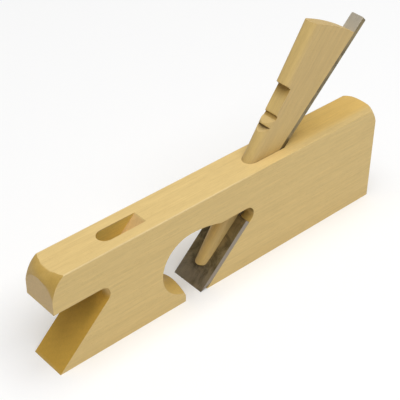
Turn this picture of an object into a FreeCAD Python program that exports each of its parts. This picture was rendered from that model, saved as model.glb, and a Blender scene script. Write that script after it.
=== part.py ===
import FreeCAD, Part

import math
import os

# Wooden rebate plane with two iron seats: one beech block, a T-shaped iron and a wedge.
# Frame: +X runs from the nose to the heel, +Y across the plane, +Z up from the sole.
# The origin lies on the sole, under the middle of the block. All sizes are in millimetres.

# ---- block -------------------------------------------------------------------------------
BODY_LENGTH = 280.0
BODY_WIDTH = 27.0
BODY_HEIGHT = 76.0
TOE_SETBACK = 1.0            # the toe's feather edge stands this far behind the nose
BED_ANGLE = 45.0             # both iron seats, from the sole

# ---- the two slots that cross the block --------------------------------------------------
SLOT_HEIGHT = 50.0           # flat roof of both slots, from the sole
SLOT_APEX_RADIUS = 6.5       # where the roof turns down into the bed
MOUTH_FROM_NOSE = 121.2      # main bed at the sole, from the nose

# ---- mortises for tang and wedge ---------------------------------------------------------
MORTISE_WIDTH = 11.2
MORTISE_LENGTH = 33.2        # along the top face, from the round front end to the bed
ABUTMENT_ANGLE = 58.0        # the mortises' front walls, from the sole

# ---- round escapement in front of the main iron --------------------------------------------
LIP_TO_BED = 18.7            # gap in the sole, from the lip to the main bed
LIP_THICKNESS = 7.2          # wood under the escapement, at the cheeks
LIP_ROUNDING = 4.0
LIP_TO_CENTRE = 4.5          # the circle's centre, behind the lip's end
ESCAPEMENT_RISE = 4.8        # the circle's top at the cheeks, above the slot's roof
ESCAPEMENT_TAIL = 25.6       # from the circle's centre back to where its tail meets the roof
ESCAPEMENT_FLARE = 4.5       # the circle's radius grows by this from the middle to each cheek

# ---- rounding of the block's ends and top arrises ------------------------------------------
NOSE_RUN_MIDDLE = 6.5
NOSE_DROP_MIDDLE = 5.5
NOSE_RUN_CHEEK = 9.5
NOSE_DROP_CHEEK = 15.0
HEEL_RUN_MIDDLE = 1.7
HEEL_DROP_MIDDLE = 1.7
HEEL_RUN_CHEEK = 8.0
HEEL_DROP_CHEEK = 11.0
ARRIS_EASE = 0.5             # top arrises from the nose to the wedge
GRIP_ROUNDING = 1.2          # top arrises where the hand lies, behind the wedge
GRIP_BLEND_LENGTH = 30.0     # the small ease grows into the grip rounding over this length

# ---- iron ------------------------------------------------------------------------------------
IRON_THICKNESS = 4.0
IRON_LENGTH = 210.8
BLADE_LENGTH = 56.5          # full-width part, from the cutting edge to the shoulders
BEVEL_ANGLE = 25.0
TANG_SIDE_CLEARANCE = 0.5    # tang in its mortise, each side
TANG_CORNER_RADIUS = 1.0

# ---- wedge -----------------------------------------------------------------------------------
WEDGE_SIDE_CLEARANCE = 0.2   # wedge in its mortise, each side
WEDGE_FRONT_CLEARANCE = 0.2  # wedge against the round front end of its mortise
WEDGE_HEAD_ARRIS = 3.6       # front arrises of the head; below it the front is fully round
WEDGE_PROJECTION = 100.0     # front face above the block's top
WEDGE_TIP_FROM_EDGE = 14.0   # the tongue's end, up the iron from its cutting edge
WEDGE_TIP_LEAST = 0.8        # the tongue is never thinner than this
WEDGE_END_CROWN = 1.4        # the struck end is slightly domed
WEDGE_END_LIFT = 3.8         # the struck end's back stands this far above square
# Barbs cut into the front face: distance below the struck end, and depth behind the face.
WEDGE_BARBS = (
    (43.2, 0.0),
    (44.3, 5.4),
    (63.5, 4.0),
    (64.2, 5.5),
    (66.6, 5.1),
    (68.2, 3.2),
    (70.4, 0.4),
    (71.0, 0.0),
    (72.0, 0.0),
    (72.8, 3.6),
    (77.5, 0.0),
)

# ---- values that follow ------------------------------------------------------------------------
OVERCUT = 5.0                # how far the cutting shapes reach past the block
HALF_WIDTH = BODY_WIDTH / 2
NOSE_X = -BODY_LENGTH / 2
HEEL_X = BODY_LENGTH / 2
TOE_X = NOSE_X + TOE_SETBACK
MOUTH_X = NOSE_X + MOUTH_FROM_NOSE
BED = math.radians(BED_ANGLE)
ABUTMENT = math.radians(ABUTMENT_ANGLE)
MORTISE_RADIUS = MORTISE_WIDTH / 2
TANG_HALF_WIDTH = MORTISE_RADIUS - TANG_SIDE_CLEARANCE
WEDGE_HALF_WIDTH = MORTISE_RADIUS - WEDGE_SIDE_CLEARANCE


def point(x, z, y=0.0):
    """A point given as it is seen from the side of the plane."""
    return FreeCAD.Vector(x, y, z)


def direction(angle):
    """The unit vector at an angle above the sole, in the side view."""
    return point(math.cos(angle), math.sin(angle))


def polyline(points):
    """Straight edges through the points, in order."""
    return [Part.makeLine(a, b) for a, b in zip(points, points[1:])]


def arc(start, middle, end):
    """A circular edge through three points."""
    return Part.Arc(start, middle, end).toShape()


def curve(poles):
    """A smooth edge that leaves its first pole and reaches its last one."""
    bezier = Part.BezierCurve()
    bezier.setPoles(poles)
    return bezier.toShape()


def across(edges, half_width):
    """The closed side-view outline, extruded to both sides of the middle plane."""
    face = Part.Face(Part.Wire(edges))
    face.translate(point(0, 0, -half_width))
    return face.extrude(point(0, 0, 2 * half_width))


def across_polygon(points, half_width):
    """As across(), for an outline of straight edges."""
    return across(polyline(points + points[:1]), half_width)


def bed_x(foot_x, z):
    """Where the bed that starts at foot_x on the sole stands at height z."""
    return foot_x + z / math.tan(BED)


def slot_apex(foot_x):
    """The arc from a slot's roof into its bed, and that arc's two ends."""
    reach = SLOT_APEX_RADIUS / math.tan(BED / 2)
    corner = point(bed_x(foot_x, SLOT_HEIGHT), SLOT_HEIGHT)
    on_roof = corner - point(reach, 0)
    on_bed = corner - direction(BED) * reach
    centre = on_roof - point(0, SLOT_APEX_RADIUS)
    halfway = centre + direction(BED / 2) * SLOT_APEX_RADIUS
    return on_roof, arc(on_roof, halfway, on_bed), on_bed


def front_slot():
    """The open slot that gives the plane its second iron seat, close to the nose."""
    on_roof, apex, on_bed = slot_apex(TOE_X)
    below = point(TOE_X, 0) - direction(BED) * OVERCUT
    low_front = point(NOSE_X - OVERCUT, below.z)
    high_front = point(NOSE_X - OVERCUT, SLOT_HEIGHT)
    edges = [apex] + polyline([on_bed, below, low_front, high_front, on_roof])
    return across(edges, HALF_WIDTH + OVERCUT)


def escapement_edges(y):
    """The escapement's outline at y: up from the sole, round the circle, back to the roof."""
    cheek_radius = (SLOT_HEIGHT + ESCAPEMENT_RISE - LIP_THICKNESS) / 2
    radius = cheek_radius - ESCAPEMENT_FLARE * (1 - (y / HALF_WIDTH) ** 2)
    lip_x = MOUTH_X - LIP_TO_BED
    centre = point(lip_x + LIP_TO_CENTRE, LIP_THICKNESS + cheek_radius)
    nose_x = lip_x - LIP_ROUNDING
    nose_drop = math.sqrt((radius + LIP_ROUNDING) ** 2 - (nose_x - centre.x) ** 2)
    nose = point(nose_x, centre.z - nose_drop)
    lean = math.atan2(nose_drop, centre.x - nose_x)
    top = centre + point(0, radius)
    halfway_round = (math.pi / 2 + lean + math.pi) / 2
    edges = [
        Part.makeLine(point(lip_x, -OVERCUT), nose + point(LIP_ROUNDING, 0)),
        arc(
            nose + point(LIP_ROUNDING, 0),
            nose + direction(lean / 2) * LIP_ROUNDING,
            nose + direction(lean) * LIP_ROUNDING,
        ),
        arc(nose + direction(lean) * LIP_ROUNDING, centre + direction(halfway_round) * radius, top),
        curve([top, top + point(ESCAPEMENT_TAIL / 2, 0), tail_end()]),
    ]
    for edge in edges:
        edge.translate(point(0, 0, y))
    return edges


def lip_foot():
    """The lip's end, carried down below the sole."""
    return point(MOUTH_X - LIP_TO_BED, -OVERCUT)


def tail_end():
    """Where the escapement's outline meets the slot's roof."""
    return point(MOUTH_X - LIP_TO_BED + LIP_TO_CENTRE + ESCAPEMENT_TAIL, SLOT_HEIGHT)


def throat():
    """The space in front of the main iron, back to the line from the lip to the roof."""
    on_roof, apex, on_bed = slot_apex(MOUTH_X)
    below = point(bed_x(MOUTH_X, -OVERCUT), -OVERCUT)
    edges = [Part.makeLine(tail_end(), on_roof), apex]
    edges += polyline([on_bed, below, lip_foot(), tail_end()])
    return across(edges, HALF_WIDTH + OVERCUT)


def escapement():
    """The round hole in front of the throat, opening out smoothly towards both cheeks."""
    inside = point(MOUTH_X - LIP_TO_BED / 3, -OVERCUT)
    wires = []
    for across_share in (-1.08, -0.55, 0.0, 0.55, 1.08):
        y = across_share * HALF_WIDTH
        aside = point(0, 0, y)
        closing = polyline([tail_end() + aside, inside + aside, lip_foot() + aside])
        wires.append(Part.Wire(escapement_edges(y) + closing))
    return Part.makeLoft(wires, True, False)


def mortise_axis_x(foot_x):
    """Where the axis of a mortise's round front end crosses the block's top."""
    return bed_x(foot_x, BODY_HEIGHT) - MORTISE_LENGTH + MORTISE_RADIUS / math.sin(ABUTMENT)


def mortise(foot_x):
    """A tapering mortise: the bed behind, a round-ended abutment in front."""
    low = SLOT_HEIGHT - SLOT_APEX_RADIUS
    high = BODY_HEIGHT + OVERCUT
    axis_low = point(mortise_axis_x(foot_x) + (low - BODY_HEIGHT) / math.tan(ABUTMENT), low)
    axis_high = point(mortise_axis_x(foot_x) + OVERCUT / math.tan(ABUTMENT), high)
    bed_foot = point(bed_x(foot_x, low - 2 * SLOT_APEX_RADIUS), low - 2 * SLOT_APEX_RADIUS)
    bed_high = point(bed_x(foot_x, high), high)
    channel = across_polygon([axis_low, bed_foot, bed_high, axis_high], MORTISE_RADIUS)
    slope = axis_high - axis_low
    round_end = Part.makeCylinder(MORTISE_RADIUS, slope.Length, axis_low, slope)
    return [channel, round_end]


def end_rounding(end_x, inward, run_range, drop_range):
    """The wood removed at one top end: little in the middle, more towards the cheeks."""
    fullness = 0.26
    wires = []
    for across_share in (-1.08, -0.8, -0.45, 0.0, 0.45, 0.8, 1.08):
        y = across_share * HALF_WIDTH
        run = run_range[0] + (run_range[1] - run_range[0]) * across_share ** 4
        drop = drop_range[0] + (drop_range[1] - drop_range[0]) * across_share ** 2
        on_top = point(end_x + inward * run, BODY_HEIGHT, y)
        on_end = point(end_x, BODY_HEIGHT - drop, y)
        belly = point(end_x + inward * fullness * run, BODY_HEIGHT - fullness * drop, y)
        outer = point(end_x - inward * OVERCUT, BODY_HEIGHT + OVERCUT, y)
        wires.append(Part.Wire([curve([on_top, belly, on_end])] + polyline([on_end, outer, on_top])))
    return Part.makeLoft(wires, True, False)


def top_arris(side):
    """The wood removed along one top arris: a small ease that grows into the grip's rounding."""
    fullness = 0.12
    grip_start = bed_x(MOUTH_X, BODY_HEIGHT)
    stations = (
        (NOSE_X - OVERCUT, ARRIS_EASE),
        (grip_start, ARRIS_EASE),
        (grip_start + GRIP_BLEND_LENGTH, GRIP_ROUNDING),
        (HEEL_X + OVERCUT, GRIP_ROUNDING),
    )
    wires = []
    for x, radius in stations:
        on_top = point(x, BODY_HEIGHT, side * (HALF_WIDTH - radius))
        on_cheek = point(x, BODY_HEIGHT - radius, side * HALF_WIDTH)
        belly = point(x, BODY_HEIGHT - fullness * radius, side * (HALF_WIDTH - fullness * radius))
        outer = point(x, BODY_HEIGHT + OVERCUT, side * (HALF_WIDTH + OVERCUT))
        wires.append(Part.Wire([curve([on_top, belly, on_cheek])] + polyline([on_cheek, outer, on_top])))
    return Part.makeLoft(wires, True, True)


def make_plane_body():
    """The block with its slots, mortises, escapement and rounded ends."""
    block = Part.makeBox(BODY_LENGTH, BODY_WIDTH, BODY_HEIGHT, point(NOSE_X, 0, -HALF_WIDTH))
    tools = [front_slot(), throat(), escapement()]
    tools += mortise(TOE_X)
    tools += mortise(MOUTH_X)
    tools += [top_arris(side) for side in (-1, 1)]
    nose_run = (NOSE_RUN_MIDDLE, NOSE_RUN_CHEEK)
    nose_drop = (NOSE_DROP_MIDDLE, NOSE_DROP_CHEEK)
    heel_run = (HEEL_RUN_MIDDLE, HEEL_RUN_CHEEK)
    heel_drop = (HEEL_DROP_MIDDLE, HEEL_DROP_CHEEK)
    tools.append(end_rounding(NOSE_X, 1, nose_run, nose_drop))
    tools.append(end_rounding(HEEL_X, -1, heel_run, heel_drop))
    for tool in tools:
        block = block.cut(tool)
    return block.removeSplitter()


def iron_point(along, y=0.0, forward=0.0):
    """A point by its distance up the iron from the cutting edge, and forward of its face."""
    edge = point(MOUTH_X - IRON_THICKNESS / math.sin(BED), 0, y)
    return edge + direction(BED) * along + direction(BED + math.pi / 2) * forward


def make_iron():
    """The iron: a full-width blade ground from behind, with shoulders and a narrow tang."""
    half = TANG_HALF_WIDTH
    radius = TANG_CORNER_RADIUS
    corner = radius * (1 - math.sqrt(0.5))
    left_start = iron_point(IRON_LENGTH - radius, -half)
    left_end = iron_point(IRON_LENGTH, radius - half)
    right_start = iron_point(IRON_LENGTH, half - radius)
    right_end = iron_point(IRON_LENGTH - radius, half)
    edges = polyline([
        right_end,
        iron_point(BLADE_LENGTH, half),
        iron_point(BLADE_LENGTH, HALF_WIDTH),
        iron_point(0, HALF_WIDTH),
        iron_point(0, -HALF_WIDTH),
        iron_point(BLADE_LENGTH, -HALF_WIDTH),
        iron_point(BLADE_LENGTH, -half),
        left_start,
    ])
    edges.append(arc(left_start, iron_point(IRON_LENGTH - corner, corner - half), left_end))
    edges.append(Part.makeLine(left_end, right_start))
    edges.append(arc(right_start, iron_point(IRON_LENGTH - corner, half - corner), right_end))
    plate = Part.Face(Part.Wire(edges)).extrude(direction(BED - math.pi / 2) * IRON_THICKNESS)
    bevel_length = IRON_THICKNESS / math.tan(math.radians(BEVEL_ANGLE))
    ground_off = [
        iron_point(0),
        iron_point(2 * bevel_length, 0, -2 * IRON_THICKNESS),
        iron_point(-OVERCUT, 0, -2 * IRON_THICKNESS),
        iron_point(-OVERCUT),
    ]
    return plate.cut(across_polygon(ground_off, HALF_WIDTH + OVERCUT))


def wedge_front_x():
    """Where the wedge's front crosses the height of the block's top."""
    ahead = WEDGE_HALF_WIDTH + WEDGE_SIDE_CLEARANCE - WEDGE_FRONT_CLEARANCE
    return mortise_axis_x(MOUTH_X) - ahead / math.sin(ABUTMENT)


def wedge_point(below_end, depth=0.0, y=0.0):
    """A point by its distance below the wedge's struck end, and its depth behind the front."""
    origin = point(wedge_front_x(), BODY_HEIGHT, y)
    along = direction(ABUTMENT) * (WEDGE_PROJECTION - below_end)
    return origin + along + direction(ABUTMENT - math.pi / 2) * depth


def wedge_thickness(below_end):
    """How thick the wedge is, square to its front, at a distance below the struck end."""
    forward = (wedge_point(below_end) - iron_point(0)).dot(direction(BED + math.pi / 2))
    return forward / math.cos(ABUTMENT - BED)


def wedge_stand_off(along):
    """How far the wedge's front stands off the iron, at a distance up the iron."""
    offset = wedge_point(WEDGE_PROJECTION) - iron_point(0)
    forward = offset.dot(direction(BED + math.pi / 2))
    return forward - (offset.dot(direction(BED)) - along) * math.tan(ABUTMENT - BED)


def wedge_tip():
    """Distance up the iron, from its cutting edge, to the tongue's end."""
    thinnest = (WEDGE_TIP_LEAST - wedge_stand_off(0)) / math.tan(ABUTMENT - BED)
    return max(WEDGE_TIP_FROM_EDGE, thinnest)


def wedge_bar(radius, top, bottom):
    """A straight bar with the wedge's width and rounded front arrises, between two distances."""
    half = WEDGE_HALF_WIDTH
    deep = 2 * wedge_thickness(0)
    corner = radius * (1 - math.sqrt(0.5))

    def at(depth, y):
        return wedge_point(bottom, depth, y)

    edges = polyline([at(radius, half), at(deep, half), at(deep, -half), at(radius, -half)])
    edges.append(arc(at(radius, -half), at(corner, corner - half), at(0, radius - half)))
    if radius < half:
        edges.append(Part.makeLine(at(0, radius - half), at(0, half - radius)))
    edges.append(arc(at(0, half - radius), at(corner, half - corner), at(radius, half)))
    return Part.Face(Part.Wire(edges)).extrude(direction(ABUTMENT) * (bottom - top))


def wedge_side():
    """The wedge as it is seen from the side, extruded across its width."""
    lift = wedge_point(-WEDGE_END_LIFT, wedge_thickness(-WEDGE_END_LIFT))
    middle = wedge_thickness(0) / 2
    crown = wedge_point(-WEDGE_END_LIFT / 2 - 2 * WEDGE_END_CROWN, middle)
    barbs = [wedge_point(below_end, depth) for below_end, depth in WEDGE_BARBS]
    tip = wedge_tip()
    tongue = [iron_point(tip, 0, wedge_stand_off(tip)), iron_point(tip)]
    outline = polyline([wedge_point(0)] + barbs + tongue + [lift])
    return across(outline + [curve([lift, crown, wedge_point(0)])], WEDGE_HALF_WIDTH)


def tongue_plan():
    """The wedge's outline on the iron: parallel sides, and a half-round end below."""
    half = WEDGE_HALF_WIDTH
    tip = wedge_tip()
    edges = polyline([
        iron_point(tip + half, half),
        iron_point(2 * IRON_LENGTH, half),
        iron_point(2 * IRON_LENGTH, -half),
        iron_point(tip + half, -half),
    ])
    edges.append(arc(iron_point(tip + half, -half), iron_point(tip), iron_point(tip + half, half)))
    deep = 2 * wedge_thickness(0)
    return Part.Face(Part.Wire(edges)).extrude(direction(BED + math.pi / 2) * deep)


def make_wedge():
    """The wedge: a rounded tongue below, barbs above to knock it loose by, and a head."""
    head_length = WEDGE_BARBS[0][0]
    shank = wedge_bar(WEDGE_HALF_WIDTH, head_length, 2 * WEDGE_PROJECTION)
    head = wedge_bar(min(WEDGE_HEAD_ARRIS, 0.9 * WEDGE_HALF_WIDTH), -WEDGE_PROJECTION, head_length)
    side = wedge_side()
    return side.common(shank.fuse(head)).common(tongue_plan()).removeSplitter()


def main():
    """Write one STEP file for each piece."""
    os.makedirs("parts", exist_ok=True)
    pieces = {
        "plane_body": make_plane_body(),
        "iron": make_iron(),
        "wedge": make_wedge(),
    }
    for name, shape in pieces.items():
        solid = shape.Solids[0]
        print(name, len(shape.Solids), "solid, valid", solid.isValid(), "volume", round(solid.Volume))
        solid.exportStep("parts/" + name + ".step")


main()
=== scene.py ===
"""Looks of a wooden rebate plane: a beech block, a T-shaped steel iron and a barbed beech wedge.

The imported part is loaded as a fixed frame. Each of its pieces is worked up into a finished one
with eased arrises and its own material, and rides on the body that it belongs to.
"""

import logging
import math
from dataclasses import dataclass, field
from enum import Enum
from typing import Any, Optional, Union

import bmesh
import bpy
from mathutils import Euler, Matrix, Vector

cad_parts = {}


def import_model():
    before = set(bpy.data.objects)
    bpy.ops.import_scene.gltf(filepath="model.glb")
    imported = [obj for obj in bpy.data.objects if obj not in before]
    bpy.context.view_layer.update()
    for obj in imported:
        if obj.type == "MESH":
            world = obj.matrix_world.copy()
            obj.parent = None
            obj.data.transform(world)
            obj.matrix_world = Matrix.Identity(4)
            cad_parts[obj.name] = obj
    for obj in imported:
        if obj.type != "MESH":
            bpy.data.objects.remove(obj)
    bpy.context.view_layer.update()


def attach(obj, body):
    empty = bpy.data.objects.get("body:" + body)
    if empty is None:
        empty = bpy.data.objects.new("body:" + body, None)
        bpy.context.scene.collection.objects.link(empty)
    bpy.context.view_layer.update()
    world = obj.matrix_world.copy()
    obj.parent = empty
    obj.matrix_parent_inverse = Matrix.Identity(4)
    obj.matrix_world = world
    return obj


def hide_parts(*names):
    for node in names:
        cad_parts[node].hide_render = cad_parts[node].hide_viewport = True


LOG = logging.getLogger("rebate_plane")

Colour = tuple[float, float, float]
Triple = tuple[float, float, float]
Span = tuple[float, float]
Socket = bpy.types.NodeSocket
Value = Union[float, Socket]


class Grain(Enum):
    """Which way the wood's fibres run, as degrees above the sole."""

    ALONG_BLOCK = 0.0
    ALONG_WEDGE = 52.0


class Wear(Enum):
    """How much the arrises of a piece are eased, in metres."""

    GROUND = 0.00018
    PLANED = 0.00035
    HANDLED = 0.0006


class Shader:
    """A material's node tree with short calls for the nodes that the finishes need."""

    def __init__(self, name: str) -> None:
        """Starts an empty material.

        Args:
            name: The material's name.
        """
        self.material = bpy.data.materials.new(name)
        self.material.use_nodes = True
        self.tree = self.material.node_tree
        self.tree.nodes.clear()
        self.surface = self.tree.nodes.new("ShaderNodeBsdfPrincipled")
        output = self.tree.nodes.new("ShaderNodeOutputMaterial")
        self.tree.links.new(self.surface.outputs["BSDF"], output.inputs["Surface"])
        self.coordinates = self.tree.nodes.new("ShaderNodeTexCoord")

    def put(self, value: Union[Value, Colour, Vector], socket: Socket) -> None:
        """Links a socket, or sets a plain value on it."""
        if isinstance(value, bpy.types.NodeSocket):
            self.tree.links.new(value, socket)
        elif isinstance(value, (tuple, Vector)) and socket.type == "RGBA":
            socket.default_value = (*value, 1.0)
        else:
            socket.default_value = value

    def maths(self, operation: str, a: Value, b: Value = 0.0, c: Value = 0.0,
              clamp: bool = False) -> Socket:
        """One Math node.

        Args:
            operation: The node's operation.
            a: The first value.
            b: The second value.
            c: The third value, where the operation has one.
            clamp: Whether the result is kept from 0 to 1.

        Returns:
            The node's output.
        """
        node = self.tree.nodes.new("ShaderNodeMath")
        node.operation = operation
        node.use_clamp = clamp
        for socket, value in zip(node.inputs, (a, b, c)):
            self.put(value, socket)
        return node.outputs[0]

    def fade(self, value: Value, low: float, high: float) -> Socket:
        """A smooth 0 to 1 step as value goes from low to high, or back if low is the larger."""
        node = self.tree.nodes.new("ShaderNodeMapRange")
        node.interpolation_type = "SMOOTHSTEP"
        start, end = (0.0, 1.0) if low < high else (1.0, 0.0)
        for socket, number in zip(node.inputs, (value, min(low, high), max(low, high), start, end)):
            self.put(number, socket)
        return node.outputs[0]

    def measures(self) -> dict[str, Socket]:
        """Where a point lies and which way it faces, by the names of a patch's spans."""
        x, y, z = self.split(self.coordinates.outputs["Object"])
        facing_x, facing_y, facing_z = self.split(self.coordinates.outputs["Normal"])
        return {
            "along": x,
            "across": y,
            "up": z,
            "from_centre": self.maths("ABSOLUTE", x),
            "from_middle": self.maths("ABSOLUTE", y),
            "faces_along": facing_x,
            "faces_end": self.maths("ABSOLUTE", facing_x),
            "faces_side": self.maths("ABSOLUTE", facing_y),
            "faces_up": facing_z,
        }

    def mix(self, share: Value, a: Union[Colour, Socket], b: Union[Colour, Socket],
            blend: str = "MIX") -> Socket:
        """A colour mix.

        Args:
            share: How much of b, from 0 to 1.
            a: The colour below.
            b: The colour on top.
            blend: The way b is laid on a.

        Returns:
            The mixed colour.
        """
        node = self.tree.nodes.new("ShaderNodeMix")
        node.data_type = "RGBA"
        node.blend_type = blend
        self.put(share, node.inputs[0])
        self.put(a, node.inputs[6])
        self.put(b, node.inputs[7])
        return node.outputs[2]

    def grey(self, value: Value) -> Socket:
        """A grey colour of the given value."""
        node = self.tree.nodes.new("ShaderNodeCombineColor")
        for socket in node.inputs[:3]:
            self.put(value, socket)
        return node.outputs[0]

    def stretched(self, scale: Triple, tilt_deg: float = 0.0, shift: Triple = (0.0, 0.0, 0.0)) -> Socket:
        """Object coordinates, turned so that the first one runs along the fibres, then scaled.

        Args:
            scale: Cells per metre along the fibres, across them, and outwards.
            tilt_deg: The fibres' angle above the sole.
            shift: An offset in metres, so that two patterns don't coincide.

        Returns:
            The coordinates.
        """
        turn = self.tree.nodes.new("ShaderNodeMapping")
        turn.inputs["Location"].default_value = shift
        turn.inputs["Rotation"].default_value = (0.0, math.radians(tilt_deg), 0.0)
        self.put(self.coordinates.outputs["Object"], turn.inputs["Vector"])
        stretch = self.tree.nodes.new("ShaderNodeMapping")
        stretch.inputs["Scale"].default_value = scale
        self.put(turn.outputs[0], stretch.inputs["Vector"])
        return stretch.outputs[0]

    def noise(self, at: Socket, scale: float = 1.0, detail: float = 2.0, roughness: float = 0.5,
              distortion: float = 0.0) -> Socket:
        """A noise pattern from 0 to 1.

        Args:
            at: The coordinates.
            scale: Cells per unit of the coordinates.
            detail: How many finer layers are added.
            roughness: How strong the finer layers are.
            distortion: How much the pattern is bent.

        Returns:
            The pattern's value.
        """
        node = self.tree.nodes.new("ShaderNodeTexNoise")
        self.put(at, node.inputs["Vector"])
        node.inputs["Scale"].default_value = scale
        node.inputs["Detail"].default_value = detail
        node.inputs["Roughness"].default_value = roughness
        node.inputs["Distortion"].default_value = distortion
        return node.outputs[0]

    def cells(self, at: Socket, randomness: float = 1.0) -> Socket:
        """The distance to the nearest of many scattered points."""
        node = self.tree.nodes.new("ShaderNodeTexVoronoi")
        self.put(at, node.inputs["Vector"])
        node.inputs["Scale"].default_value = 1.0
        node.inputs["Randomness"].default_value = randomness
        return node.outputs["Distance"]

    def rings(self, at: Socket, per_metre: float, waver: float) -> Socket:
        """Growth rings round the first coordinate, as soft waves from 0 to 1.

        Args:
            at: The coordinates, with the log's middle at their origin.
            per_metre: Rings per metre.
            waver: How much the rings wander.

        Returns:
            The pattern's value.
        """
        node = self.tree.nodes.new("ShaderNodeTexWave")
        node.wave_type = "RINGS"
        node.rings_direction = "X"
        self.put(at, node.inputs["Vector"])
        node.inputs["Scale"].default_value = per_metre * math.pi / 10.0
        node.inputs["Distortion"].default_value = waver
        node.inputs["Detail"].default_value = 2.0
        node.inputs["Detail Scale"].default_value = 0.15
        return node.outputs["Fac"]

    def both(self, *shares: Value) -> Socket:
        """The product of several shares."""
        product = shares[0]
        for share in shares[1:]:
            product = self.maths("MULTIPLY", product, share)
        return product

    def split(self, vector: Socket) -> tuple[Socket, Socket, Socket]:
        """The three parts of a vector."""
        node = self.tree.nodes.new("ShaderNodeSeparateXYZ")
        self.put(vector, node.inputs[0])
        return node.outputs[0], node.outputs[1], node.outputs[2]

    def relief(self, height: Socket, depth: float, strength: float, under: Optional[Socket] = None) -> Socket:
        """A bump that is depth metres high, laid over another one.

        Args:
            height: The relief's height from 0 to 1.
            depth: What a height of 1 stands for, in metres.
            strength: How much of it shows.
            under: The normal that it is laid over.

        Returns:
            The normal.
        """
        node = self.tree.nodes.new("ShaderNodeBump")
        node.inputs["Strength"].default_value = strength
        node.inputs["Distance"].default_value = depth
        self.put(height, node.inputs["Height"])
        if under is not None:
            self.put(under, node.inputs["Normal"])
        return node.outputs[0]


@dataclass(frozen=True)
class Patch:
    """A part of a piece's surface, by where it lies and which way it faces.

    Each span says where the patch starts and where it is full: a place in metres, or the part of
    the surface's normal in a direction. What has no span doesn't matter.
    """

    share: float = 1.0
    along: Optional[Span] = None
    across: Optional[Span] = None
    up: Optional[Span] = None
    from_centre: Optional[Span] = None
    from_middle: Optional[Span] = None
    faces_along: Optional[Span] = None
    faces_end: Optional[Span] = None
    faces_side: Optional[Span] = None
    faces_up: Optional[Span] = None

    def mask(self, shader: Shader, at: dict[str, Socket]) -> Value:
        """How much of the patch there is at a point.

        Args:
            shader: The material being made.
            at: The shader's measures.

        Returns:
            The share, up to the patch's own.
        """
        spans = {name: getattr(self, name) for name in at}
        shares: list[Value] = [
            shader.fade(at[name], *span) for name, span in spans.items() if span is not None
        ]
        if self.share < 1.0:
            shares.append(self.share)
        return shader.both(*shares)


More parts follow.
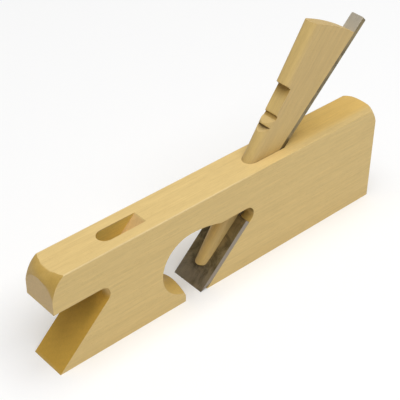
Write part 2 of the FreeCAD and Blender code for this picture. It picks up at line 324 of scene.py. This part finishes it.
@dataclass(frozen=True)
class BeechFinish:
    """Planed and oiled beech. Colours are linear, and cells are per metre."""

    name: str
    pale: Colour
    deep: Colour
    golden: Colour
    fleck: Colour
    grain: Grain
    streaks: float = 0.32
    streak_span: Span = (0.34, 0.72)
    streak_cells: Triple = (6.0, 70.0, 130.0)
    warmth: float = 0.35
    warm_span: Span = (0.48, 0.72)
    warm_cells: Triple = (16.0, 45.0, 45.0)
    fibre_cells: Triple = (40.0, 1200.0, 1200.0)
    fibre_contrast: float = 0.30
    flecks: float = 0.35
    ray_cells: Triple = (420.0, 1700.0, 900.0)
    ray_span: Span = (0.30, 0.08)
    ray_patch_cells: Triple = (60.0, 120.0, 120.0)
    ray_patch_span: Span = (0.42, 0.62)
    rings_per_metre: float = 300.0
    ring_contrast: float = 0.022
    ring_waver: float = 3.0
    pith: Triple = (0.0, 0.061, 0.083)
    cloud_cells: Triple = (130.0, 380.0, 380.0)
    cloudiness: float = 0.16
    roughness: float = 0.52
    roughness_spread: float = 0.18
    specular: float = 0.3
    wave_cells: Triple = (30.0, 60.0, 60.0)
    wave_relief: Span = (0.0006, 0.12)
    fibre_relief: Span = (0.0001, 0.3)
    ray_relief: Span = (0.00006, 0.25)

    def figure(self, shader: Shader) -> tuple[Socket, Socket, Socket]:
        """The wood's figure.

        Args:
            shader: The material being made.

        Returns:
            The broad streaks, the fine fibres and the ray flecks, each from 0 to 1.
        """
        tilt = self.grain.value
        broad = shader.noise(shader.stretched(self.streak_cells, tilt), detail=4.0, roughness=0.6,
                             distortion=0.4)
        fibre = shader.noise(shader.stretched(self.fibre_cells, tilt), detail=3.0, roughness=0.6)
        rays = shader.cells(shader.stretched(self.ray_cells, tilt))
        patches = shader.noise(shader.stretched(self.ray_patch_cells, tilt, (0.3, 0.1, 0.2)), detail=1.0)
        fleck = shader.both(shader.fade(rays, *self.ray_span), shader.fade(patches, *self.ray_patch_span))
        return broad, fibre, fleck

    def warm(self, shader: Shader) -> Socket:
        """A soft pattern from 0 to 1 for where the wood is more golden."""
        at = shader.stretched(self.warm_cells, self.grain.value, (0.0, 0.7, 0.1))
        return shader.noise(at, detail=3.0)

    def streaked(self, shader: Shader, broad: Socket) -> Socket:
        """The pale wood with its deeper streaks."""
        streaks = shader.both(shader.fade(broad, *self.streak_span), self.streaks)
        return shader.mix(streaks, self.pale, self.deep)

    def colour(self, shader: Shader, broad: Socket) -> Socket:
        """The wood's colour before its fibres and flecks are laid on it."""
        golden = shader.both(shader.fade(self.warm(shader), *self.warm_span), self.warmth)
        return shader.mix(golden, self.streaked(shader, broad), self.golden)

    def shade(self, shader: Shader, fibre: Socket) -> Socket:
        """The light and dark of the rings, the fibres and a soft cloudiness, round 1."""
        pith = shader.stretched((1.0, 1.0, 1.0), self.grain.value, self.pith)
        rings = shader.rings(pith, self.rings_per_metre, self.ring_waver)
        clouds = shader.stretched(self.cloud_cells, self.grain.value, (0.4, 0.2, 0.6))
        cloud = shader.noise(clouds, detail=3.0, roughness=0.7)
        return shader.both(
            shader.maths("MULTIPLY_ADD", rings, -self.ring_contrast, 1.0 + self.ring_contrast / 2),
            shader.maths("MULTIPLY_ADD", fibre, self.fibre_contrast, 1.0 - self.fibre_contrast / 2),
            shader.maths("MULTIPLY_ADD", cloud, self.cloudiness, 1.0 - self.cloudiness / 2),
        )

    def material(self) -> bpy.types.Material:
        """The finished material.

        Returns:
            The material, with colour, roughness and bump from its nodes.
        """
        shader = Shader(self.name)
        broad, fibre, fleck = self.figure(shader)
        colour = self.colour(shader, broad)
        colour = shader.mix(shader.both(fleck, self.flecks), colour, self.fleck, "MULTIPLY")
        colour = shader.mix(1.0, colour, shader.grey(self.shade(shader, fibre)), "MULTIPLY")
        shader.put(colour, shader.surface.inputs["Base Color"])
        smoothest = self.roughness - self.roughness_spread / 2
        rough = shader.maths("MULTIPLY_ADD", fibre, self.roughness_spread, smoothest)
        shader.put(rough, shader.surface.inputs["Roughness"])
        shader.surface.inputs["Specular IOR Level"].default_value = self.specular
        waves = shader.noise(shader.stretched(self.wave_cells, self.grain.value, (0.0, 0.0, 0.5)), detail=1.0)
        normal = shader.relief(waves, *self.wave_relief)
        normal = shader.relief(fibre, *self.fibre_relief, normal)
        normal = shader.relief(shader.maths("SUBTRACT", 1.0, fleck), *self.ray_relief, normal)
        shader.put(normal, shader.surface.inputs["Normal"])
        return shader.material


@dataclass(frozen=True)
class BlockFinish(BeechFinish):
    """Beech of the block: golden on the rounded nose, darker on its end grain, with painted shade on the
    sides, in the slots and as a patchy golden patch on the top behind the wedge, and a painted highlight
    along the top arrises.
    """

    warm_cells: Triple = (14.0, 60.0, 60.0)
    patchiness: Span = (0.7, 0.55)
    # painted shade: the block's sides are darkened a little, as faces turned from the light
    cheek_shade: Colour = (0.955, 0.957, 0.935)
    # painted shade: the front slot's ramps are darkened as if lying in the slot's shadow
    ramp_shade: Colour = (0.53, 0.315, 0.048)
    carved: Colour = (0.600, 0.405, 0.118)
    mortised: Colour = (0.735, 0.535, 0.135)
    bed_wall: Colour = (0.680, 0.455, 0.190)
    handled_end: Colour = (0.485, 0.308, 0.070)
    end_grain: Colour = (0.55, 0.385, 0.180)
    rubbed: Colour = (0.650, 0.470, 0.195)
    # painted highlight along the top arrises
    arris_highlight: Colour = (0.860, 0.700, 0.420)
    # an olive darkening multiplied onto the ramps' upper part, away from the near side
    ramp_olive: Colour = (0.56, 0.57, 0.42)
    # painted shade on the downward faces inside the main slot
    slot_underside_shade: Colour = (0.30, 0.28, 0.13)
    shaded_cheeks: Patch = Patch(faces_side=(0.7, 0.95))
    # painted shade of the leaning wedge and iron on the top behind the wedge, laid as a patchy golden tone
    shade_behind_wedge: Patch = Patch(along=(0.040, 0.072), faces_up=(0.45, 0.85), across=(-0.0128, -0.0035))
    grip_side: Patch = Patch(along=(0.040, 0.072), faces_up=(0.45, 0.85), across=(-0.0065, -0.0138))
    # where the painted highlight along the top arrises goes
    highlit_top_arrises: Patch = Patch(0.3, along=(0.03, 0.0), up=(0.0750, 0.0755), from_middle=(0.0124, 0.0129))
    flat_ends: Patch = Patch(0.85, faces_end=(0.8, 0.95), from_centre=(0.1385, 0.1392))
    nose_round: Patch = Patch(along=(-0.125, -0.130), faces_along=(-0.10, -0.42), faces_up=(0.0, 0.28))
    above_sole: Patch = Patch(along=(-0.1403, -0.1393), up=(0.0002, 0.0015), faces_side=(0.85, 0.45))
    under_roof: Patch = Patch(up=(0.0555, 0.0505))
    ramp: Patch = Patch(along=(-0.083, -0.085), up=(0.045, 0.040))
    apex: Patch = Patch(0.6, up=(0.039, 0.044))
    # where painted shade goes: downward faces inside the main slot
    shaded_slot_undersides: Patch = Patch(0.8, along=(0.008, 0.018), faces_up=(0.15, -0.35))
    # where the olive darkening goes: the ramps' upper part, away from the near side
    olive_ramp_part: Patch = Patch(0.75, up=(0.016, 0.034), across=(-0.0125, -0.006))
    olive_span: Span = (0.25, 0.60)
    in_mortise: Patch = Patch(from_centre=(0.126, 0.122), from_middle=(0.0062, 0.0058), up=(0.0495, 0.0515))
    below_top: Patch = Patch(up=(0.0757, 0.0750))
    on_bed: Patch = Patch(faces_up=(0.3, 0.55))

    def colour(self, shader: Shader, broad: Socket) -> Socket:
        """Pale long grain with painted shade on the sides, painted golden shade behind the wedge, a painted
        highlight on the top arrises, brown slots with painted shade on the ramps, and grey-brown end grain.
        """
        at = shader.measures()
        warm = self.warm(shader)
        patchy = shader.maths("MULTIPLY_ADD", warm, *self.patchiness, clamp=True)
        base = self.streaked(shader, broad)
        # painted shade: side-facing faces darkened a little
        base = shader.mix(self.shaded_cheeks.mask(shader, at), base, self.cheek_shade, "MULTIPLY")
        # painted shade of the leaning wedge and iron, as a patchy golden tone on the top behind the wedge
        base = shader.mix(shader.both(self.shade_behind_wedge.mask(shader, at), patchy), base, self.golden)
        base = shader.mix(self.grip_side.mask(shader, at), base, self.rubbed)
        # painted highlight along the top arrises
        base = shader.mix(self.highlit_top_arrises.mask(shader, at), base, self.arris_highlight)
        base = shader.mix(self.flat_ends.mask(shader, at), base, self.end_grain)
        base = shader.mix(shader.both(self.nose_round.mask(shader, at), patchy), base, self.handled_end)
        base = self.with_slots(shader, base, at, warm)
        return self.with_mortises(shader, base, at)

    def with_slots(self, shader: Shader, base: Socket, at: dict[str, Socket], warm: Socket) -> Socket:
        """Lays the colours of the slots' sawn and carved faces on the block's own, with painted shade on the
        ramps and on the downward faces of the main slot, and an olive darkening on the ramps' upper part.

        Args:
            shader: The material being made.
            base: The colour so far.
            at: The shader's measures.
            warm: A soft pattern from 0 to 1.

        Returns:
            The colour.
        """
        inner = shader.both(self.above_sole.mask(shader, at), self.under_roof.mask(shader, at))
        ramp = shader.both(inner, self.ramp.mask(shader, at))
        # olive darkening on the ramps' upper part, broken up by a soft pattern
        darkened_share = shader.both(ramp, self.olive_ramp_part.mask(shader, at), shader.fade(warm, *self.olive_span))
        base = shader.mix(inner, base, self.carved)
        # painted shade on the front slot's ramps
        base = shader.mix(ramp, base, self.ramp_shade)
        base = shader.mix(shader.both(inner, self.apex.mask(shader, at)), base, self.rubbed)
        # painted shade on the downward faces inside the main slot
        base = shader.mix(shader.both(inner, self.shaded_slot_undersides.mask(shader, at)), base, self.slot_underside_shade, "MULTIPLY")
        return shader.mix(darkened_share, base, self.ramp_olive, "MULTIPLY")

    def with_mortises(self, shader: Shader, base: Socket, at: dict[str, Socket]) -> Socket:
        """Lays the colours of the mortises' walls on the block's own."""
        inside = shader.both(self.in_mortise.mask(shader, at), self.below_top.mask(shader, at))
        walls = shader.mix(self.on_bed.mask(shader, at), self.mortised, self.bed_wall)
        return shader.mix(inside, base, walls)


@dataclass(frozen=True)
class WedgeFinish(BeechFinish):
    """Beech of the wedge: golden where the thumb pushes its front, with painted shade below the barbs' steps
    and on their downward faces.

    Each barb is given by how far below the struck end it starts, and how far down its painted shade reaches.
    """

    # painted shade on the downward faces of the barbs' steps
    underside_shade: Colour = (0.40, 0.35, 0.18)
    # painted shade on the wedge's front below each barb's step
    barb_shade: Colour = (0.72, 0.62, 0.40)
    barbs: tuple[Span, ...] = ((0.0443, 0.010), (0.0642, 0.0045), (0.0728, 0.003))
    barb_lip: float = 0.002
    lean_deg: float = 58.0
    struck_end: Span = (0.0772, 0.1608)
    thumbed: Patch = Patch(0.45, faces_along=(-0.35, -0.8))
    front: Patch = Patch(faces_along=(-0.30, -0.60))
    # where the painted shade of the downward faces goes
    shaded_undersides: Patch = Patch(faces_up=(-0.35, -0.65))

    def below_end(self, shader: Shader, at: dict[str, Socket]) -> Socket:
        """The distance down the wedge's front from its struck end."""
        lean = math.radians(self.lean_deg)
        end = self.struck_end[0] * math.cos(lean) + self.struck_end[1] * math.sin(lean)
        below = shader.maths("MULTIPLY_ADD", at["up"], -math.sin(lean), end)
        return shader.maths("MULTIPLY_ADD", at["along"], -math.cos(lean), below)

    def colour(self, shader: Shader, broad: Socket) -> Socket:
        """The beech's colour, with a golden front, painted shade below the barbs' steps, and painted shade on
        the downward faces.
        """
        at = shader.measures()
        base = BeechFinish.colour(self, shader, broad)
        base = shader.mix(self.thumbed.mask(shader, at), base, self.golden)
        front = self.front.mask(shader, at)
        below = self.below_end(shader, at)
        # painted shade on the front, fading down from each barb's step
        for start, reach in self.barbs:
            darkened_share = shader.both(front, shader.fade(below, start + reach, start),
                                shader.fade(below, start - self.barb_lip, start))
            base = shader.mix(darkened_share, base, self.barb_shade, "MULTIPLY")
        # painted shade on the downward faces
        return shader.mix(self.shaded_undersides.mask(shader, at), base, self.underside_shade, "MULTIPLY")


@dataclass(frozen=True)
class IronFinish:
    """Old tool steel: dark brown patina on the faces, brighter where it is ground or rubbed."""

    name: str
    patina: Colour
    patina_light: Colour
    rubbed: Colour
    bright: Colour
    bed_deg: float
    roughness: float = 0.42
    roughness_spread: float = 0.25
    smoothest_below: float = 0.10
    metallic: float = 0.55
    blotch_cells: Triple = (90.0, 90.0, 90.0)
    blotch_span: Span = (0.38, 0.64)
    pit_cells: Triple = (900.0, 900.0, 900.0)
    pit_span: Span = (0.60, 0.74)
    pits: float = 0.4
    scratch_cells: Triple = (70.0, 2600.0, 2600.0)
    scratch_shade: Span = (0.5, 0.75)
    sides: Patch = Patch(faces_side=(0.5, 0.9))
    rubbed_tang: Patch = Patch(0.92, up=(0.080, 0.105))
    ground_sides: Patch = Patch(0.9, up=(0.052, 0.040))
    honed_edge: Patch = Patch(0.5, up=(0.016, 0.003))
    honed_span: Span = (0.30, 0.55)
    scratch_relief: Span = (0.00005, 0.3)
    pit_relief: Span = (0.0001, 0.35)

    def material(self) -> bpy.types.Material:
        """The finished material.

        Returns:
            The material, with colour, roughness and bump from its nodes.
        """
        shader = Shader(self.name)
        at = shader.measures()
        blotch = shader.noise(shader.stretched(self.blotch_cells), detail=5.0, roughness=0.65, distortion=0.6)
        fine = shader.noise(shader.stretched(self.pit_cells), detail=3.0, roughness=0.7)
        scratch = shader.noise(shader.stretched(self.scratch_cells, self.bed_deg), detail=2.0)
        colour = shader.mix(shader.fade(blotch, *self.blotch_span), self.patina, self.patina_light)
        side = self.sides.mask(shader, at)
        worn = shader.both(self.rubbed_tang.mask(shader, at), shader.maths("SUBTRACT", 1.0, side))
        colour = shader.mix(worn, colour, self.rubbed)
        colour = shader.mix(shader.both(side, self.ground_sides.mask(shader, at)), colour, self.bright)
        honed = shader.both(self.honed_edge.mask(shader, at), shader.fade(blotch, *self.honed_span))
        colour = shader.mix(honed, colour, self.bright)
        colour = shader.mix(shader.both(shader.fade(fine, *self.pit_span), self.pits), colour, self.patina)
        streak = shader.maths("MULTIPLY_ADD", scratch, *self.scratch_shade)
        colour = shader.mix(1.0, colour, shader.grey(streak), "MULTIPLY")
        shader.put(colour, shader.surface.inputs["Base Color"])
        smoothest = self.roughness - self.smoothest_below
        rough = shader.maths("MULTIPLY_ADD", blotch, self.roughness_spread, smoothest)
        shader.put(rough, shader.surface.inputs["Roughness"])
        shader.surface.inputs["Metallic"].default_value = self.metallic
        normal = shader.relief(scratch, *self.scratch_relief)
        normal = shader.relief(fine, *self.pit_relief, normal)
        shader.put(normal, shader.surface.inputs["Normal"])
        return shader.material


def beech_block() -> BlockFinish:
    """The block's finish."""
    return BlockFinish(
        name="beech_block",
        pale=(0.715, 0.520, 0.215),
        deep=(0.610, 0.425, 0.165),
        golden=(0.700, 0.452, 0.124),
        fleck=(0.70, 0.60, 0.46),
        grain=Grain.ALONG_BLOCK,
    )


def beech_wedge() -> WedgeFinish:
    """The wedge's finish, a little redder and greyer than the block's."""
    return WedgeFinish(
        name="beech_wedge",
        pale=(0.615, 0.440, 0.180),
        deep=(0.515, 0.352, 0.142),
        golden=(0.672, 0.478, 0.165),
        fleck=(0.66, 0.55, 0.42),
        grain=Grain.ALONG_WEDGE,
        pith=(0.0, 0.047, 0.035),
    )


def tool_steel(bed_deg: float) -> IronFinish:
    """The iron's finish."""
    return IronFinish(
        name="tool_steel",
        patina=(0.130, 0.099, 0.044),
        patina_light=(0.295, 0.232, 0.116),
        rubbed=(0.640, 0.575, 0.455),
        bright=(0.290, 0.252, 0.212),
        bed_deg=bed_deg,
    )


class PlateTree:
    """A geometry node tree with short calls for the nodes that a flat plate needs."""

    def __init__(self, name: str, sizes: tuple[str, ...]) -> None:
        """Starts the tree.

        Args:
            name: The tree's name.
            sizes: The names of its inputs, each a length or an angle.
        """
        self.tree = bpy.data.node_groups.new(name, "GeometryNodeTree")
        self.identifiers: dict[str, str] = {}
        kinds = {size: "NodeSocketFloat" for size in sizes} | {"Finish": "NodeSocketMaterial"}
        for title, kind in kinds.items():
            socket = self.tree.interface.new_socket(name=title, in_out="INPUT", socket_type=kind)
            self.identifiers[title] = socket.identifier
        self.tree.interface.new_socket(name="Plate", in_out="OUTPUT", socket_type="NodeSocketGeometry")
        self.given = self.tree.nodes.new("NodeGroupInput").outputs

    def node(self, kind: str, values: Optional[dict[str, Any]] = None, **settings: Any) -> bpy.types.Node:
        """One node.

        Args:
            kind: The node's type.
            values: What its inputs get, by their names: a socket or a plain value.
            settings: The node's own options.

        Returns:
            The node.
        """
        node = self.tree.nodes.new(kind)
        for option, choice in settings.items():
            setattr(node, option, choice)
        for name, value in (values or {}).items():
            self.give(value, node.inputs[name])
        return node

    def give(self, value: Any, socket: Socket) -> None:
        """Links a socket, or sets a plain value on it."""
        if isinstance(value, bpy.types.NodeSocket):
            self.tree.links.new(value, socket)
        else:
            socket.default_value = value

    def maths(self, operation: str, a: Value, b: Value = 0.0, c: Value = 0.0) -> Socket:
        """One Math node's result."""
        node = self.node("ShaderNodeMath", operation=operation)
        for socket, value in zip(node.inputs, (a, b, c)):
            self.give(value, socket)
        return node.outputs[0]

    def choose(self, share: Value, off: Value, on: Value) -> Socket:
        """Off where share is 0, on where it is 1."""
        return self.maths("MULTIPLY_ADD", share, self.maths("SUBTRACT", on, off), off)

    def place(self) -> tuple[Socket, Socket, Socket]:
        """The three parts of each point's place."""
        position = self.node("GeometryNodeInputPosition").outputs[0]
        parts = self.node("ShaderNodeSeparateXYZ", {"Vector": position})
        return parts.outputs[0], parts.outputs[1], parts.outputs[2]

    def vector(self, x: Value = 0.0, y: Value = 0.0, z: Value = 0.0) -> Socket:
        """A vector from its three parts."""
        return self.node("ShaderNodeCombineXYZ", {"X": x, "Y": y, "Z": z}).outputs[0]


@dataclass
class Piece:
    """A piece of the plane: a blank, then eased arrises, a finish and a body to ride on.

    Lengths are in metres.
    """

    node: str
    body: str
    slot: str
    name: str
    wear: Wear
    finish: Union[BeechFinish, IronFinish]
    sharp_from_deg: float = 24.0
    segments: int = 3
    same_place: float = 4e-7
    flats_first: int = 90

    def blank(self) -> bpy.types.Object:
        """The piece before its arrises are eased."""
        raise NotImplementedError

    def ease(self, piece: bpy.types.Object) -> None:
        """Adds the modifiers that round the arrises and keep the flats flat."""
        bevel = piece.modifiers.new("eased_arrises", "BEVEL")
        bevel.width = self.wear.value
        bevel.segments = self.segments
        bevel.limit_method = "ANGLE"
        bevel.angle_limit = math.radians(self.sharp_from_deg)
        bevel.miter_outer = "MITER_ARC"
        bevel.use_clamp_overlap = True
        weld = piece.modifiers.new("joined_corners", "WELD")
        weld.merge_threshold = self.same_place
        normals = piece.modifiers.new("flat_flats", "WEIGHTED_NORMAL")
        normals.keep_sharp = False
        normals.weight = self.flats_first

    def build(self) -> bpy.types.Object:
        """Makes the piece and hands it to its body.

        Returns:
            The finished piece, as a plain mesh at the origin.
        """
        rough = self.blank()
        self.ease(rough)
        depsgraph = bpy.context.evaluated_depsgraph_get()
        mesh = bpy.data.meshes.new_from_object(rough.evaluated_get(depsgraph))
        bpy.data.objects.remove(rough)
        mesh.name = self.name
        piece = bpy.data.objects.new(self.name, mesh)
        bpy.context.scene.collection.objects.link(piece)
        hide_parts(self.node)
        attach(piece, self.body)
        LOG.info("%s: %d faces on body %s", self.name, len(mesh.polygons), self.body)
        return piece


@dataclass
class CarvedPiece(Piece):
    """A wooden piece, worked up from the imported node's own mesh."""

    weld: float = 2e-6
    flat_within_deg: float = 0.4

    def blank(self) -> bpy.types.Object:
        """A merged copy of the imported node's mesh, with its flat faces whole again."""
        mesh = bpy.data.objects[self.node].data.copy()
        mesh.materials.clear()
        work = bmesh.new()
        work.from_mesh(mesh)
        bmesh.ops.remove_doubles(work, verts=work.verts, dist=self.weld)
        bmesh.ops.dissolve_degenerate(work, dist=self.weld, edges=work.edges)
        bmesh.ops.dissolve_limit(work, angle_limit=math.radians(self.flat_within_deg), verts=work.verts,
                                 edges=work.edges, use_dissolve_boundaries=False)
        bmesh.ops.recalc_face_normals(work, faces=work.faces)
        for face in work.faces:
            face.smooth = True
        work.to_mesh(mesh)
        work.free()
        mesh.materials.append(self.finish.material())
        blank = bpy.data.objects.new(self.name + "_blank", mesh)
        bpy.context.scene.collection.objects.link(blank)
        return blank


@dataclass
class Block(CarvedPiece):
    """The beech block, worn by the hand that holds it."""

    node: str = "plane_body"
    body: str = "block"
    slot: str = "body_wood"
    name: str = "block"
    wear: Wear = Wear.HANDLED
    finish: BeechFinish = field(default_factory=beech_block)


@dataclass
class Wedge(CarvedPiece):
    """The barbed wedge, crisp from the plane."""

    node: str = "wedge"
    body: str = "wedge"
    slot: str = "wedge_wood"
    name: str = "barbed_wedge"
    wear: Wear = Wear.PLANED
    finish: BeechFinish = field(default_factory=beech_wedge)


@dataclass
class TeeIron(Piece):
    """The T-shaped iron: a full-width blade ground from behind, two shoulders and a narrow tang.

    Its plate is a grid of three columns and two rows. Lengths are in metres. A size that ends in
    "from" is the share of a width or length past which a point counts as outer, high, at the end
    or at the side.
    """

    node: str = "iron"
    body: str = "iron"
    slot: str = "iron_steel"
    name: str = "tee_iron"
    wear: Wear = Wear.GROUND
    finish: IronFinish = field(default_factory=lambda: tool_steel(TeeIron.bed_deg))
    bed_deg: float = 45.0
    mouth_x: float = -0.0188
    thickness: float = 0.0040
    length: float = 0.2108
    blade_length: float = 0.0565
    blade_width: float = 0.027
    tang_width: float = 0.0102
    bevel_deg: float = 25.0
    tang_corner: float = 0.001
    corner_segments: int = 5
    outer_from: float = 0.3
    row_from: float = 0.25
    end_from: float = 0.99
    side_from: float = 0.4
    merge_within: float = 1e-5

    def sizes(self) -> dict[str, float]:
        """What the plate's tree is given."""
        bed = math.radians(self.bed_deg)
        return {
            "Length": self.length,
            "Blade Length": self.blade_length,
            "Blade Width": self.blade_width,
            "Tang Width": self.tang_width,
            "Thickness": self.thickness,
            "Bevel Length": self.thickness / math.tan(math.radians(self.bevel_deg)),
            "Edge Place": self.mouth_x - self.thickness / math.sin(bed),
            "Bed Angle": bed,
        }

    def tree(self) -> PlateTree:
        """The rule of the plate: a grid set out as a T, thickened, ground and laid on its bed.

        Returns:
            The tree.
        """
        plate = PlateTree("tee_plate", tuple(self.sizes()))
        given = plate.given
        grid = plate.node("GeometryNodeMeshGrid", {
            "Size X": given["Blade Width"], "Size Y": given["Length"], "Vertices X": 4, "Vertices Y": 3,
        })
        shape = self.set_out(plate, grid.outputs["Mesh"])
        shape = self.thicken(plate, shape)
        shape = self.grind(plate, shape)
        shape = self.mark_tang_corners(plate, shape)
        turn = plate.node("FunctionNodeEulerToRotation", {
            "Euler": plate.vector(given["Bed Angle"], 0.0, -math.pi / 2),
        })
        laid = plate.node("GeometryNodeTransform", {
            "Geometry": shape, "Translation": plate.vector(given["Edge Place"]), "Rotation": turn.outputs[0],
        })
        whole = plate.node("GeometryNodeRealizeInstances", {"Geometry": laid.outputs[0]})
        smooth = plate.node("GeometryNodeSetShadeSmooth", {
            "Geometry": whole.outputs[0], "Shade Smooth": True,
        })
        dressed = plate.node("GeometryNodeSetMaterial", {
            "Geometry": smooth.outputs[0], "Material": given["Finish"],
        })
        plate.node("NodeGroupOutput", {"Plate": dressed.outputs[0]})
        return plate

    def set_out(self, plate: PlateTree, grid: Socket) -> Socket:
        """Moves the grid's columns and rows to the T's lines, and takes out the cells beside the tang."""
        given = plate.given
        x, y, _ = plate.place()
        outer_place = plate.maths("MULTIPLY", given["Blade Width"], self.outer_from)
        outer = plate.maths("GREATER_THAN", plate.maths("ABSOLUTE", x), outer_place)
        width = plate.choose(outer, given["Tang Width"], given["Blade Width"])
        high_place = plate.maths("MULTIPLY", given["Length"], self.row_from)
        low = plate.maths("LESS_THAN", y, plate.maths("MULTIPLY", high_place, -1.0))
        high = plate.maths("GREATER_THAN", y, high_place)
        row = plate.choose(low, plate.choose(high, given["Blade Length"], given["Length"]), 0.0)
        column = plate.maths("MULTIPLY", plate.maths("SIGN", x), plate.maths("MULTIPLY", width, 0.5))
        placed = plate.node("GeometryNodeSetPosition", {
            "Geometry": grid, "Position": plate.vector(column, row),
        })
        x, y, _ = plate.place()
        half_tang = plate.maths("MULTIPLY", given["Tang Width"], 0.5)
        beside = plate.maths("GREATER_THAN", plate.maths("ABSOLUTE", x), half_tang)
        above = plate.maths("GREATER_THAN", y, given["Blade Length"])
        kept = plate.node("GeometryNodeDeleteGeometry", {
            "Geometry": placed.outputs[0], "Selection": plate.maths("MULTIPLY", beside, above),
        }, domain="FACE")
        return kept.outputs[0]

    def thicken(self, plate: PlateTree, face: Socket) -> Socket:
        """Gives the flat T its thickness, behind its face, as a closed plate."""
        back = plate.node("GeometryNodeExtrudeMesh", {
            "Mesh": face, "Offset": plate.vector(0.0, 0.0, -1.0), "Offset Scale": plate.given["Thickness"],
            "Individual": False,
        })
        flipped = plate.node("GeometryNodeFlipFaces", {"Mesh": face})
        both = plate.node("GeometryNodeJoinGeometry")
        for part in (back.outputs["Mesh"], flipped.outputs[0]):
            plate.give(part, both.inputs[0])
        merged = plate.node("GeometryNodeMergeByDistance", {
            "Geometry": both.outputs[0], "Distance": self.merge_within,
        })
        outward = plate.node("GeometryNodeFlipFaces", {"Mesh": merged.outputs[0]})
        return outward.outputs[0]

    def grind(self, plate: PlateTree, shape: Socket) -> Socket:
        """Grinds the bevel: the back's lower edge moves up by the bevel's length."""
        _, y, z = plate.place()
        at_edge = plate.maths("LESS_THAN", y, plate.maths("MULTIPLY", plate.given["Blade Length"], 0.5))
        behind = plate.maths("LESS_THAN", z, plate.maths("MULTIPLY", plate.given["Thickness"], -0.5))
        ground = plate.node("GeometryNodeSetPosition", {
            "Geometry": shape, "Selection": plate.maths("MULTIPLY", at_edge, behind),
            "Offset": plate.vector(0.0, plate.given["Bevel Length"]),
        })
        return ground.outputs[0]

    def mark_tang_corners(self, plate: PlateTree, shape: Socket) -> Socket:
        """Marks the two short edges at the tang's end, which are rounded more than the rest."""
        x, y, _ = plate.place()
        end_place = plate.maths("MULTIPLY", plate.given["Length"], self.end_from)
        side_place = plate.maths("MULTIPLY", plate.given["Tang Width"], self.side_from)
        at_end = plate.maths("GREATER_THAN", y, end_place)
        at_side = plate.maths("GREATER_THAN", plate.maths("ABSOLUTE", x), side_place)
        marked = plate.node("GeometryNodeStoreNamedAttribute", {
            "Geometry": shape, "Selection": plate.maths("MULTIPLY", at_end, at_side),
            "Name": "bevel_weight_edge", "Value": 1.0,
        }, domain="EDGE", data_type="FLOAT")
        return marked.outputs[0]

    def blank(self) -> bpy.types.Object:
        """The plate from its tree, with the tang's corners rounded."""
        blank = bpy.data.objects.new(self.name + "_blank", bpy.data.meshes.new(self.name + "_blank"))
        bpy.context.scene.collection.objects.link(blank)
        plate = self.tree()
        rule = blank.modifiers.new("plate", "NODES")
        rule.node_group = plate.tree
        for name, size in self.sizes().items():
            rule[plate.identifiers[name]] = size
        rule[plate.identifiers["Finish"]] = self.finish.material()
        corners_bevel = blank.modifiers.new("tang_corners", "BEVEL")
        corners_bevel.limit_method = "WEIGHT"
        corners_bevel.width = self.tang_corner
        corners_bevel.segments = self.corner_segments
        return blank


@dataclass
class Studio:
    """The floor, the light and the camera. Lengths are in metres, the lens and its sensor in mm."""

    floor_size: float = 8.0
    floor_colour: Colour = (0.88, 0.88, 0.88)
    sky: float = 0.20
    key_power: float = 128.0
    key_size: float = 3.5
    key_direction: Triple = (0.0, -0.235, 0.972)
    key_distance: float = 3.2
    floor_glow: float = 0.06
    floor_roughness: float = 0.9
    camera_at: Triple = (-0.403289, -0.430465, 0.509051)
    camera_turn_deg: Triple = (52.527, -0.563, -41.6995)
    lens: float = 102.644
    sensor: float = 36.0
    nearest: float = 0.01
    target: Triple = (0.0, 0.0, 0.06)

    def floor(self) -> bpy.types.Object:
        """A plain pale floor under the sole."""
        half = self.floor_size / 2
        mesh = bpy.data.meshes.new("floor")
        corner_places = [(-half, -half, 0), (half, -half, 0), (half, half, 0), (-half, half, 0)]
        mesh.from_pydata(corner_places, [], [(0, 1, 2, 3)])
        shader = Shader("floor_white")
        shader.surface.inputs["Base Color"].default_value = (*self.floor_colour, 1.0)
        shader.surface.inputs["Roughness"].default_value = self.floor_roughness
        shader.surface.inputs["Specular IOR Level"].default_value = 0.0
        shader.surface.inputs["Emission Color"].default_value = (1.0, 1.0, 1.0, 1.0)
        shader.surface.inputs["Emission Strength"].default_value = self.floor_glow
        mesh.materials.append(shader.material)
        floor = bpy.data.objects.new("floor", mesh)
        bpy.context.scene.collection.objects.link(floor)
        return floor

    def light(self) -> None:
        """An even white sky and one large soft key light above the near side."""
        world = bpy.data.worlds.new("studio_sky")
        world.use_nodes = True
        world.node_tree.nodes["Background"].inputs["Color"].default_value = (1.0, 1.0, 1.0, 1.0)
        world.node_tree.nodes["Background"].inputs["Strength"].default_value = self.sky
        bpy.context.scene.world = world
        lamp = bpy.data.lights.new("key", "AREA")
        lamp.shape = "SQUARE"
        lamp.size = self.key_size
        lamp.energy = self.key_power
        key = bpy.data.objects.new("key", lamp)
        away = Vector(self.key_direction).normalized()
        key.location = Vector(self.target) + away * self.key_distance
        key.rotation_euler = (-away).to_track_quat("-Z", "Y").to_euler()
        bpy.context.scene.collection.objects.link(key)

    def camera(self) -> None:
        """The camera, above the nose end on the near side."""
        data = bpy.data.cameras.new("camera")
        data.lens = self.lens
        data.sensor_width = self.sensor
        data.clip_start = self.nearest
        camera = bpy.data.objects.new("camera", data)
        camera.location = self.camera_at
        camera.rotation_euler = Euler([math.radians(angle) for angle in self.camera_turn_deg], "XYZ")
        bpy.context.scene.collection.objects.link(camera)
        bpy.context.scene.camera = camera

    def build(self) -> None:
        """Sets the whole stage and plain colour management."""
        self.floor()
        self.light()
        self.camera()
        bpy.context.scene.view_settings.view_transform = "Standard"
        LOG.info("studio: floor, sky, key light and camera")


def main() -> None:
    """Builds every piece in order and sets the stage."""
    logging.basicConfig(level=logging.INFO, format="%(message)s")
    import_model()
    pieces: list[Piece] = [Block(), TeeIron(), Wedge()]
    for piece in pieces:
        piece.build()
    Studio().build()


if __name__ == "__main__":
    main()
